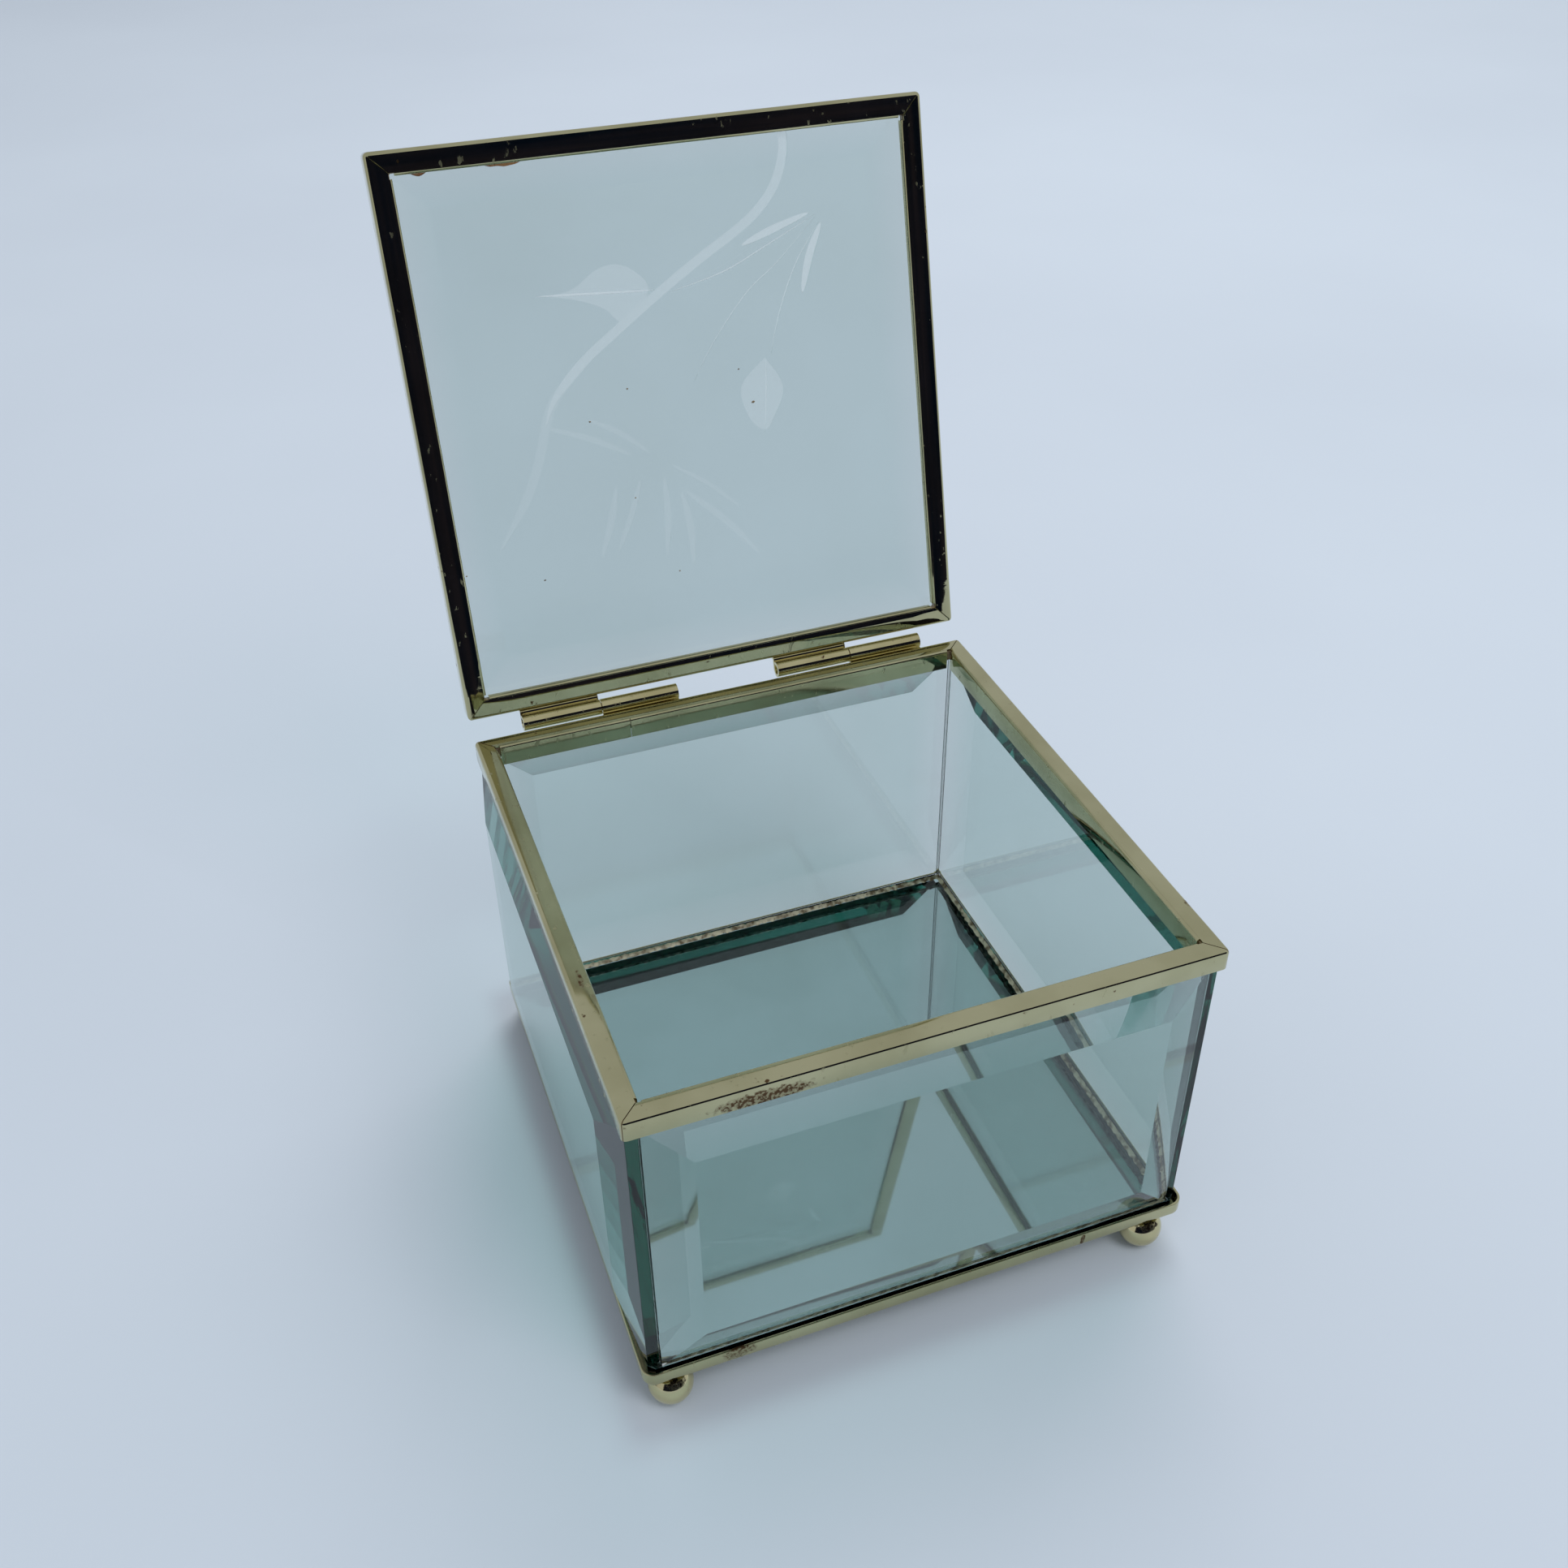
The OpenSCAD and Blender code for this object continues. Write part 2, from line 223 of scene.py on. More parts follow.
# Each blot has a place, how far it reaches on each axis, and a strength
rim_front_y = rim_low.y
tray_front_y = tray_low.y
rim_blots = (((-29 * MM, rim_front_y, rim_low.z + 1.4 * MM), (9 * MM, 1 * MM, 1.7 * MM), 1.4),
             ((-48.9 * MM, middle_y - 20 * MM, rim_high.z), (0.6 * MM, 2.4 * MM, 1 * MM), 1.2),
             ((-47.9 * MM, middle_y - 25 * MM, rim_high.z), (0.4 * MM, 1.4 * MM, 1 * MM), 0.5),
             ((51 * MM, middle_y - 38.6 * MM, rim_high.z), (0.7 * MM, 1.1 * MM, 1 * MM), 0.9))
tray_blots = (((-35 * MM, tray_front_y, tray_low.z + 2.2 * MM), (3.8 * MM, 1 * MM, 1.7 * MM), 0.8),
              ((-35 * MM, tray_front_y, tray_high.z), (1.9 * MM, 1 * MM, 0.8 * MM), 1.6),
              ((30.8 * MM, tray_front_y, tray_low.z + 1.6 * MM), (0.5 * MM, 1 * MM, 1.4 * MM), 1.6))
# Each ball gets one black patch on the front of its top, just under the tray
foot_blots = []
for foot in ("foot_front_left", "foot_front_right", "foot_back_left", "foot_back_right"):
    foot_low, foot_high = node_box[foot]
    foot_blots.append(((foot_low.x + 4.3 * MM, foot_low.y + 0.8 * MM, foot_high.z - 0.4 * MM),
                       (2.3 * MM, 1.6 * MM, 1.0 * MM), 1.3))
pale_brass = (0.54, 0.51, 0.31, 1)
dull_brass = (0.42, 0.39, 0.22, 1)
rim_brass = make_brass("rim_brass", pale_brass, dull_brass, 0.0, rim_blots, mitred=True)
tray_brass = make_brass("tray_brass", pale_brass, dull_brass, 0.01, tray_blots)
lid_brass = make_brass("lid_brass", pale_brass, dull_brass, 0.02, roughest=0.04)
foot_brass = make_brass("foot_brass", (0.74, 0.68, 0.40, 1), (0.56, 0.49, 0.28, 1), 0.05, foot_blots,
                        black_patch)
hinge_brass = make_brass("hinge_brass", (0.66, 0.59, 0.33, 1), (0.50, 0.43, 0.21, 1), 0.03)
pin_brass = make_brass("pin_brass", (0.42, 0.33, 0.17, 1), (0.25, 0.17, 0.08, 1), 0.05)
print("brass for the rim, tray, lid, feet, hinges and pins, with", len(rim_blots) + len(tray_blots),
      "blots on the rim and tray")

# %% [markdown]
# ## Glass
# Plate glass looks clear face on and green from the edge, because light fades on its way through. A tint on
# the surface would colour thin and thick glass alike, so the fading is put into the volume, as a loss for
# each metre. The surface only adds smudges, and a matt white where it is cut. Shadows get a tint of their
# own, because the ray tracer would otherwise make them as dark as those of a solid.

# %% Glass finishes
clean_tint = (0.85, 0.85, 0.84, 1)
grimy_tint = (0.81, 0.81, 0.79, 1)
cut_tint = (1.0, 1.0, 1.0, 1)
cut_white = (0.97, 0.99, 0.99, 1)
density_to_loss = 1.25


def make_glass(name, loss_per_m, haze, shade_tint, ior=1.52, with_cuts=False):
    """Clear glass that fades red, green and blue by loss_per_m. Cut faces are matt and a little white."""
    cut_roughness = 0.35
    cut_whiteness = 0.32
    density = max(loss_per_m) * density_to_loss
    material, tree, output, where = new_material(name)
    smudges = noise_mask(tree, where, scale=26, low=0.38, high=0.75)
    tint = mix_colours(tree, smudges, clean_tint, grimy_tint)
    smudged = add_node(tree, "ShaderNodeMapRange", {"Value": smudges, "To Min": 0.0, "To Max": haze})
    rough = smudged
    if with_cuts:
        ground = add_node(tree, "ShaderNodeAttribute", attribute_name="ground")
        rough = add_node(tree, "ShaderNodeMath",
                         {0: ground.outputs["Fac"], 1: cut_roughness, 2: smudged.outputs[0]},
                         operation="MULTIPLY_ADD")
        tint = mix_colours(tree, ground.outputs["Fac"], tint, cut_tint)
    shader = add_node(tree, "ShaderNodeBsdfPrincipled",
                      {"Base Color": tint, "Roughness": rough.outputs[0], "IOR": ior,
                       "Transmission Weight": 1.0})
    if with_cuts:
        white = add_node(tree, "ShaderNodeBsdfDiffuse", {"Color": cut_white})
        share = add_node(tree, "ShaderNodeMath", {0: ground.outputs["Fac"], 1: cut_whiteness},
                         operation="MULTIPLY")
        shader = add_node(tree, "ShaderNodeMixShader", {0: share.outputs[0], 1: shader.outputs[0],
                                                        2: white.outputs[0]})
    clear = add_node(tree, "ShaderNodeBsdfTransparent", {"Color": shade_tint})
    path = add_node(tree, "ShaderNodeLightPath")
    mixer = add_node(tree, "ShaderNodeMixShader", {0: path.outputs["Is Shadow Ray"], 1: shader.outputs[0],
                                                   2: clear.outputs[0]})
    tree.links.new(mixer.outputs[0], output.inputs["Surface"])
    volume = add_node(tree, "ShaderNodeVolumeAbsorption",
                      {"Color": tuple(1 - loss / density for loss in loss_per_m) + (1,),
                       "Density": density})
    tree.links.new(volume.outputs[0], output.inputs["Volume"])
    return material


plate_loss = (44, 19, 23)
plate_shade = (0.90, 0.95, 0.94, 1)
plate_glass = make_glass("plate_glass", plate_loss, 0.0, plate_shade)
cut_glass = make_glass("cut_glass", plate_loss, 0.0, plate_shade, with_cuts=True)
seam_glue = make_glass("seam_glue", (30, 13, 17), 0.03, (0.90, 0.93, 0.90, 1), ior=1.50)
print("glass loses", plate_loss, "of red, green and blue for each metre")


# %% [markdown]
# ## Silvering and glue finishes
# The silver behind the mirror is a smooth bluish metal that has clouded a little. Old glue is brown or
# amber and has dirt in it, so one recipe with a fine noise serves for all the glue that isn't clear.

# %% Silvering and glue finishes
def make_silvering():
    material, tree, output, where = new_material("silvering")
    bloom = noise_mask(tree, where, scale=60, low=0.45, high=0.9)
    colour = mix_colours(tree, bloom, (0.78, 0.90, 0.97, 1), (0.72, 0.84, 0.90, 1))
    shader = add_node(tree, "ShaderNodeBsdfPrincipled", {"Base Color": colour, "Metallic": 1.0,
                                                         "Roughness": 0.02})
    tree.links.new(shader.outputs[0], output.inputs["Surface"])
    return material


def make_glue(name, pale, dark, scale, metal, roughness):
    material, tree, output, where = new_material(name)
    dirt = noise_mask(tree, where, scale, low=0.42, high=0.62, detail=8)
    colour = mix_colours(tree, dirt, pale, dark)
    bump = add_node(tree, "ShaderNodeBump", {"Height": dirt, "Strength": 0.6, "Distance": 0.1 * MM})
    shader = add_node(tree, "ShaderNodeBsdfPrincipled",
                      {"Base Color": colour, "Roughness": roughness, "Metallic": metal,
                       "Normal": bump.outputs[0]})
    tree.links.new(shader.outputs[0], output.inputs["Surface"])
    return material


silvering = make_silvering()
bead_glue = make_glue("bead_glue", (0.60, 0.55, 0.40, 1), (0.14, 0.10, 0.055, 1),
                      scale=700, metal=0.6, roughness=0.3)
channel_glue = make_glue("channel_glue", (0.34, 0.26, 0.15, 1), (0.09, 0.055, 0.03, 1),
                         scale=500, metal=0.0, roughness=0.35)
amber_glue = make_glue("amber_glue", (0.42, 0.20, 0.07, 1), (0.20, 0.08, 0.03, 1),
                       scale=400, metal=0.0, roughness=0.2)
print("finishes:", silvering.name, bead_glue.name, channel_glue.name, amber_glue.name)

# %% [markdown]
# ## Mesh helpers
# Three ways of making a shape cover nearly the whole box. A folded channel or a tray is a set of rounded
# squares joined up one after another. A foot or a pin is a profile turned about an axis. A strip of sheet
# is a bent line given a thickness and pushed along X. Sharp edges are softened a little after that, because
# a real edge always catches a thin line of light.

# %% Turn points and faces into a piece
crease = math.radians(35)


def make_piece(name, points, faces, material, body, matrix=as_drawn, soften=0.0):
    mesh = bpy.data.meshes.new(name)
    mesh.from_pydata([matrix @ Vector(point) for point in points], [], faces)
    mesh.materials.append(material)
    shape = bmesh.new()
    shape.from_mesh(mesh)
    bmesh.ops.recalc_face_normals(shape, faces=shape.faces)
    if soften > 0:
        sharp = [edge for edge in shape.edges if edge.calc_face_angle(0) > crease]
        bmesh.ops.bevel(shape, geom=sharp, offset=soften, segments=2, profile=0.6, affect="EDGES",
                        clamp_overlap=True)
    shape.to_mesh(mesh)
    shape.free()
    mesh.shade_smooth()
    mesh.set_sharp_from_angle(angle=crease)
    piece = add_object(name, mesh)
    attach(piece, body)
    return piece


# %% Rings, tubes and turned profiles
def rounded_square(half_x, half_y, radius, z, steps=8):
    ring = []
    for quarter, (side_x, side_y) in enumerate(corner_signs):
        for step in range(steps + 1):
            turn = math.pi / 2 * (quarter + step / steps)
            ring.append((side_x * (half_x - radius) + radius * math.cos(turn),
                         middle_y + side_y * (half_y - radius) + radius * math.sin(turn), z))
    return ring


def join_rings(rings, closed):
    """Skin over rings of points. An open run of rings gets its two ends capped."""
    count = len(rings[0])
    points = [point for ring in rings for point in ring]
    faces = []
    last = len(rings) if closed else len(rings) - 1
    for i in range(last):
        below = i * count
        above = (i + 1) % len(rings) * count
        for j in range(count):
            k = (j + 1) % count
            faces.append((below + j, below + k, above + k, above + j))
    if not closed:
        faces.append(tuple(range(count)))
        faces.append(tuple(range((len(rings) - 1) * count, len(rings) * count)))
    return points, faces


def turned(profile, sides=48):
    """Turn pairs of radius and height about Z. The first and last radius are nearly 0."""
    rings = [[(radius * math.cos(2 * math.pi * k / sides), radius * math.sin(2 * math.pi * k / sides), z)
              for k in range(sides)] for radius, z in profile]
    return join_rings(rings, False)


near_axis = 0.0001 * MM
waver_reach = 0.035 * MM
waver_length = 14 * MM
waver_seed = 1
# This noise would otherwise take its seed from the clock, and change from run to run
noise.seed_set(waver_seed)


def wavered(points):
    """Hand-made unevenness: push each point a little way along a slow noise."""
    return [Vector(point) + waver_reach * noise.noise_vector(Vector(point) / waver_length)
            for point in points]


def arc(centre, radius, start_degrees, end_degrees, steps):
    turns = [math.radians(start_degrees + (end_degrees - start_degrees) * k / steps)
             for k in range(steps + 1)]
    return [(centre[0] + radius * math.cos(t), centre[1] + radius * math.sin(t)) for t in turns]


# %% [markdown]
# ## Rim and lid frame
# Both frames are a strip of sheet folded to a channel and then folded again to a square. The wide flange is
# cut at 45 degrees at each corner, so a hairline runs across it, and the inner leg is cut short there. A
# modifier on a plain square wouldn't give the mitres, so the flange is a set of rings with a sunk line at
# each corner, and each inner leg is its own strip, bent down from the flange.

# %% Lines round a frame
corner_r = 0.9 * MM
fold_r = 0.7 * MM
tightest_r = 0.15 * MM
mitre_w = 0.14 * MM
mitre_depth = 0.11 * MM
# Each point round a corner has its degrees, and a shift of -1, 0 or 1 across the mitre
corner_points = ((0, 0), (22, 0), (45, -1), (45, 0), (45, 1), (68, 0), (90, 0))
side_steps = 16


def frame_ring(inset, z, sink):
    """One line round the frame, at an inset from its outside. The mitre is sunk by sink."""
    radius = max(corner_r - inset, tightest_r)
    ring = []
    for quarter, (side_x, side_y) in enumerate(corner_signs):
        centre = Vector((side_x * (half_w - inset - radius),
                         middle_y + side_y * (half_d - inset - radius), z))
        for degrees, shift in corner_points:
            turn = math.radians(90 * quarter + degrees)
            out = Vector((math.cos(turn), math.sin(turn), 0))
            along = Vector((-out.y, out.x, 0))
            point = centre + radius * out + shift * mitre_w / 2 * along
            if degrees == 45 and shift == 0:
                point.z += sink
            ring.append(point)
    full = []
    for k, point in enumerate(ring):
        full.append(point)
        if (k + 1) % len(corner_points) == 0:
            after = ring[(k + 1) % len(ring)]
            full.extend(point.lerp(after, step / side_steps) for step in range(1, side_steps))
    return full


# %% Inner legs of a frame
inner_fold = 0.55 * MM
leg_short_of_mitre = 0.45 * MM
leg_edge = 0.05 * MM
leg_steps = 14


def make_inner_legs(name, outer_z, up, flange_w, lip_h, leg_gaps, material, body, matrix):
    """Four strips bent down from the flange. leg_gaps holds the joins in a strip, by the strip's turn."""
    fold = arc((flange_w - inner_fold, inner_fold), inner_fold, 270, 360, 5)
    back = arc((flange_w - inner_fold, inner_fold), inner_fold - sheet_t, 360, 270, 3)
    section = fold + [(flange_w, lip_h), (flange_w - sheet_t, lip_h)] + back
    for turn, outward, along in four_sides(half_w, half_d):
        end = along - flange_w - leg_short_of_mitre
        cuts = sorted([-end, end] + leg_gaps.get(turn, []))
        facing = Matrix.Translation((0, middle_y, 0)) @ Matrix.Rotation(math.radians(turn), 4, "Z")
        for start, stop in zip(cuts[::2], cuts[1::2]):
            rings = []
            for k in range(leg_steps + 1):
                x = start + (stop - start) * k / leg_steps
                rings.append([facing @ Vector((x, outward - inset, outer_z + up * height))
                              for inset, height in section])
            points, faces = join_rings(rings, False)
            leg_name = name + "_inner_leg_" + str(turn) + ("" if start == -end else "_b")
            make_piece(leg_name, wavered(points), faces, material, body, matrix, leg_edge)


# %% Folded channel of a frame
fold_edge = 0.07 * MM
hair = 0.01 * MM


def make_channel(name, outer_z, up, flange_w, leg_h, material, body, matrix, back_tilt=0.0):
    """up is 1 where the legs point up from the flange, and -1 where they point down.

    The back side's flange leans by back_tilt: that is how far its outer edge lies off the level.
    """
    outside = arc((fold_r, fold_r), fold_r, 180, 270, 6)
    inside = arc((fold_r, fold_r), fold_r - sheet_t, 270, 180, 4)
    section = [(0, leg_h)] + outside + [(flange_w * 0.5, 0), (flange_w - inner_fold, 0),
                                        (flange_w - inner_fold, sheet_t)] + inside + [(sheet_t, leg_h)]
    rings = []
    for inset, height in section:
        on_face = height < hair
        ring = frame_ring(inset, outer_z + up * height, up * mitre_depth if on_face else 0)
        for point in ring:
            if point.y > middle_y + half_d - inset - hair:
                point.z += up * back_tilt * (1 - inset / flange_w)
        rings.append(ring)
    points, faces = join_rings(rings, True)
    return make_piece(name, wavered(points), faces, material, body, matrix, fold_edge)


# %% The two frames
rim_flange_w = 3.8 * MM
rim_lip_h = rim_high.z - rim_low.z
rim_leg_h = rim_lip_h - 0.3 * MM
lid_flange_w = 4.2 * MM
lid_leg_h = 4.0 * MM
lid_lip_h = 1.5 * MM
lid_back_tilt = 0.2 * MM
strip_join_x = -21.1 * MM
strip_join_w = 0.12 * MM
strip_join = [strip_join_x - strip_join_w / 2, strip_join_x + strip_join_w / 2]
rim_channel = make_channel("rim_channel", rim_high.z, -1, rim_flange_w, rim_leg_h,
                           rim_brass, "box", as_drawn)
make_inner_legs("rim_channel", rim_high.z, -1, rim_flange_w, rim_lip_h, {0: strip_join},
                rim_brass, "box", as_drawn)
lid_channel = make_channel("lid_channel", lid_z, 1, lid_flange_w, lid_leg_h,
                           lid_brass, "lid", swing_open, lid_back_tilt)
make_inner_legs("lid_channel", lid_z, 1, lid_flange_w, lid_lip_h, {},
                lid_brass, "lid", swing_open)
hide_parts("rim_frame")
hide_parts("lid_frame")
print("rim leg", round(rim_leg_h / MM, 2), "mm and inner leg", round(rim_lip_h / MM, 2), "mm")

# %% [markdown]
# ## Tray and feet
# The tray is pressed from one sheet, so its floor bends up into its wall. The ball feet are cast and
# soldered on, and a little collar of solder shows round the top of each.

# %% Tray
tray_half_w = (tray_high.x - tray_low.x) / 2
tray_half_d = (tray_high.y - tray_low.y) / 2
tray_sheet_t = 0.5 * MM
tray_corner_r = 2.3 * MM
tray_least_r = 0.5 * MM
tray_bend = 0.8 * MM
tray_lip_r = 0.12 * MM
tray_h = tray_high.z - tray_low.z
tray_profile = arc((tray_bend, tray_bend), tray_bend, 270, 180, 6)
tray_profile += [(0, tray_h / 2)]
tray_profile += arc((tray_lip_r, tray_h - tray_lip_r), tray_lip_r, 180, 90, 3)
tray_profile += arc((tray_sheet_t - tray_lip_r, tray_h - tray_lip_r), tray_lip_r, 90, 0, 3)
tray_profile += arc((tray_bend, tray_bend), tray_bend - tray_sheet_t, 180, 270, 4)
rings = [rounded_square(tray_half_w - inset, tray_half_d - inset, max(tray_corner_r - inset, tray_least_r),
                        tray_low.z + height) for inset, height in tray_profile]
points, faces = join_rings(rings, False)
tray = make_piece("tray_pressing", points, faces, tray_brass, "box")
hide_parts("base_tray")
print("tray", round(2 * tray_half_w / MM, 1), "by", round(2 * tray_half_d / MM, 1), "mm")


# %% Feet
worn_flat = 0.1 * MM
collar_h = 0.2 * MM
solder_w = 0.25 * MM
solder_neck_w = 0.1 * MM
solder_neck_h = 0.1 * MM


def make_foot(node):
    low, high = node_box[node]
    radius = (high.x - low.x) / 2
    middle = Vector(((low.x + high.x) / 2, (low.y + high.y) / 2, low.z + radius - worn_flat))
    collar_bottom = high.z - collar_h
    start = math.degrees(math.asin((collar_bottom - middle.z) / radius))
    flat = -math.degrees(math.asin((middle.z - low.z) / radius))
    collar_r = radius * math.cos(math.radians(start))
    profile = [(near_axis, high.z), (collar_r + solder_w, high.z),
               (collar_r + solder_neck_w, high.z - solder_neck_h)]
    profile += [(x, middle.z + z) for x, z in arc((0, 0), radius, start, flat, 28)]
    profile += [(near_axis, low.z)]
    points, faces = turned(profile)
    matrix = Matrix.Translation((middle.x, middle.y, 0))
    foot = make_piece(node + "_ball", points, faces, foot_brass, "box", matrix)
    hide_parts(node)
    return 2 * radius / MM


foot_sizes = [make_foot(name) for name in frame["nodes"] if name.startswith("foot_")]
print("feet", [round(size, 1) for size in foot_sizes], "mm")

# %% [markdown]
# ## Hinges
# Each leaf is a strip of sheet with one end rolled round the pin. Rolling leaves a seam where the strip's
# end meets its own web, and an open bore at each end. So the leaf is drawn as one bent line with a
# thickness, which gives the seam and the bore for free.

# %% Rolled leaves and pins
leaf_t = 0.6 * MM
knuckle_r = 1.55 * MM
axis_out = 2.4 * MM
roll_start = 270
roll_end = 575
leaf_edge = 0.12 * MM


def closed_box(node):
    """Corners of a lid node with the lid shut."""
    shut = swing_open.inverted()
    corners = [shut @ vertex.co for vertex in frame["nodes"][node].data.vertices]
    return (Vector([min(corner[k] for corner in corners) for k in range(3)]),
            Vector([max(corner[k] for corner in corners) for k in range(3)]))


def make_leaf(node, body, up, matrix):
    """up is -1 where the leaf hangs down from the hinge line, and 1 where it stands up."""
    low, high = closed_box(node) if body == "lid" else node_box[node]
    leaf_reach = (hinge_point.z - low.z) if up < 0 else (high.z - hinge_point.z)
    mid_r = knuckle_r - leaf_t / 2
    line = [(-axis_out + leaf_t / 2, -leaf_reach)]
    line += arc((-axis_out + leaf_t, -mid_r - leaf_t / 2), leaf_t / 2, 180, 90, 4)
    line += arc((0, 0), mid_r, roll_start, roll_end, 40)
    rings = []
    for k, (y, z) in enumerate(line):
        before = Vector(line[max(k - 1, 0)])
        after = Vector(line[min(k + 1, len(line) - 1)])
        side = (after - before).orthogonal().normalized() * leaf_t / 2
        rings.append([(x, y + sign * side.x, -up * (z + sign * side.y))
                      for x, sign in ((low.x, 1), (high.x, 1), (high.x, -1), (low.x, -1))])
    points, faces = join_rings(rings, False)
    place = matrix @ Matrix.Translation((0, hinge_point.y, hinge_point.z))
    leaf = make_piece(node + "_rolled", points, faces, hinge_brass, body, place, leaf_edge)
    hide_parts(node)


def make_pin(node):
    low, high = node_box[node]
    radius = (high.z - low.z) / 2
    length = high.x - low.x
    dome = 0.25 * MM
    tip = 0.06 * MM
    tip_r = radius * 0.6
    profile = [(near_axis, 0), (tip_r, tip), (radius, dome), (radius, length - dome),
               (tip_r, length - tip), (near_axis, length)]
    points, faces = turned(profile, 24)
    place = Matrix.Translation((low.x, hinge_point.y, hinge_point.z)) @ Matrix.Rotation(math.pi / 2, 4, "Y")
    pin = make_piece(node + "_wire", points, faces, pin_brass, "box", place)
    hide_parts(node)


for side in ("left", "right"):
    make_leaf("hinge_" + side + "_rim_leaf", "box", -1, as_drawn)
    make_leaf("hinge_" + side + "_lid_leaf", "lid", 1, swing_open)
    make_pin("hinge_" + side + "_pin")
print("hinge line at", [round(v / MM, 1) for v in hinge_point], "mm")

# %% [markdown]
# ## Glass walls and mirror
# The solid model already has the true shape of every pane, with its ground bevels. What it lacks is the
# arris, the narrow flat that is rubbed along every sharp edge of a real pane so that it doesn't cut. Each
# pane is a copy of its solid with that flat added. A bevel modifier could do it too, but the mesh tool lets
# us pick only the edges that are truly sharp.

# %% Panes
arris_w = 0.06 * MM
same_point = 0.002 * MM
same_plane = math.radians(0.5)


def pane_shape(node):
    """A clean copy of a pane: no doubled points and no needless edges on its flat faces."""
    shape = bmesh.new()
    shape.from_mesh(frame["nodes"][node].data)
    bmesh.ops.remove_doubles(shape, verts=shape.verts, dist=same_point)
    bmesh.ops.dissolve_limit(shape, angle_limit=same_plane, verts=shape.verts, edges=shape.edges)
    return shape


def rub_arrises(shape):
    sharp = [edge for edge in shape.edges if edge.calc_face_angle(0) > crease]
    bmesh.ops.bevel(shape, geom=sharp, offset=arris_w, segments=1, affect="EDGES", clamp_overlap=True)


def finish_pane(name, shape, material, body):
    mesh = bpy.data.meshes.new(name)
    shape.to_mesh(mesh)
    shape.free()
    mesh.materials.append(material)
    mesh.shade_flat()
    piece = add_object(name, mesh)
    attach(piece, body)
    return piece


for node in ("glass_front", "glass_back", "glass_left", "glass_right", "mirror_glass"):
    shape = pane_shape(node)
    rub_arrises(shape)
    pane = finish_pane(node + "_pane", shape, plate_glass, "box")
    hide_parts(node)
    print(node, len(pane.data.polygons), "faces")

# %% [markdown]
# ## Silvering
# The silver lies on the underside of the mirror's glass with no air between. If two faces only touch, the
# ray tracer can't tell which comes first, so the silver reaches a hair's breadth into the glass.

# %% Silvering
silver_shape = pane_shape("mirror_silvering")
silver_middle_z = sum(node_box["mirror_silvering"][k].z for k in (0, 1)) / 2
silver_share = 0.999
silver_into_glass = 0.02 * MM
for vertex in silver_shape.verts:
    vertex.co.x *= silver_share
    vertex.co.y = middle_y + (vertex.co.y - middle_y) * silver_share
    if vertex.co.z > silver_middle_z:
        vertex.co.z += silver_into_glass
silver = finish_pane("silvering_coat", silver_shape, silvering, "box")
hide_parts("mirror_silvering")
print("silvering", len(silver.data.polygons), "faces")

# %% [markdown]
# ## Glue
# The walls are stuck to each other with a clear film and to the mirror with a bead that has gone crusty
# and holds dirt. A film that touches both panes lets light straight through the joint, so it too reaches a
# hair's breadth into each. Its edges wander, because the glue never fills the joint to the very edge.

# %% Films in the corner joints
film_steps = 60
film_into_glass = 0.015 * MM
near_wander = 2.2 * MM
far_wander = 1.7 * MM


def film_retreat(place, wander):
    """How far the film stops short of the joint's edge. wander is the length of one swing."""
    usual_mm = 0.10
    spread_mm = 0.08
    return (usual_mm + spread_mm * noise.noise(Vector(place) / wander)) * MM


def make_film(node):
    low, high = node_box[node]
    left = low.x - film_into_glass
    right = high.x + film_into_glass
    rings = []
    for k in range(film_steps + 1):
        z = low.z + (high.z - low.z) * k / film_steps
        near = low.y + film_retreat((low.x, low.y, z), near_wander)
        far = high.y - film_retreat((high.x, low.y, z), far_wander)
        rings.append([(left, near, z), (right, near, z), (right, far, z), (left, far, z)])
    points, faces = join_rings(rings, False)
    film = make_piece(node + "_film", points, faces, seam_glue, "box")
    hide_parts(node)


for corner in ("front_left", "front_right", "back_left", "back_right"):
    make_film("seam_" + corner)

# %% Bead along the foot of the walls
bead_low, bead_high = node_box["mirror_bead"]
bead_leg = bead_high.z - bead_low.z
bead_half_w = (bead_high.x - bead_low.x) / 2
bead_half_d = (bead_high.y - bead_low.y) / 2
lump_w = 0.9 * MM
bead_steps = 220
other_row = Vector((0, 7, 0))
finer_up = 3.1
finer_out = 2.7
finer_belly = 1.9
belly_usual = 0.42
belly_spread = 0.14


def crust(lump_seed, crumb_seed):
    """How far the glue has crept, as a share of the bead's leg, in lumps with crumbs on them."""
    usual = 0.62
    lumps = 0.30
    crumbs = 0.16
    return usual + lumps * noise.noise(lump_seed) + crumbs * noise.noise(crumb_seed)


def bead_side(turn, half_along, outward):
    facing = Matrix.Translation((0, middle_y, bead_low.z)) @ Matrix.Rotation(math.radians(turn), 4, "Z")
    rings = []
    for k in range(bead_steps + 1):
        u = -half_along + 2 * half_along * k / bead_steps
        seed = Vector((u / lump_w, turn, 0))
        up_wall = bead_leg * crust(seed, seed * finer_up)
        on_floor = bead_leg * crust(seed + other_row, seed * finer_out)
        belly = belly_usual + belly_spread * noise.noise(seed * finer_belly)
        section = [(outward - hair, hair), (outward - hair, up_wall),
                   (outward - on_floor * belly, up_wall * belly), (outward - on_floor, hair)]
        rings.append([facing @ Vector((u, v, h)) for v, h in section])
    return join_rings(rings, False)


for turn, outward, half_along in four_sides(bead_half_w, bead_half_d):
    points, faces = bead_side(turn, half_along, outward)
    bead = make_piece("bead_" + str(turn), points, faces, bead_glue, "box")
    if turn == 0:
        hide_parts("mirror_bead")
print("bead", round(bead_leg / MM, 2), "mm high")

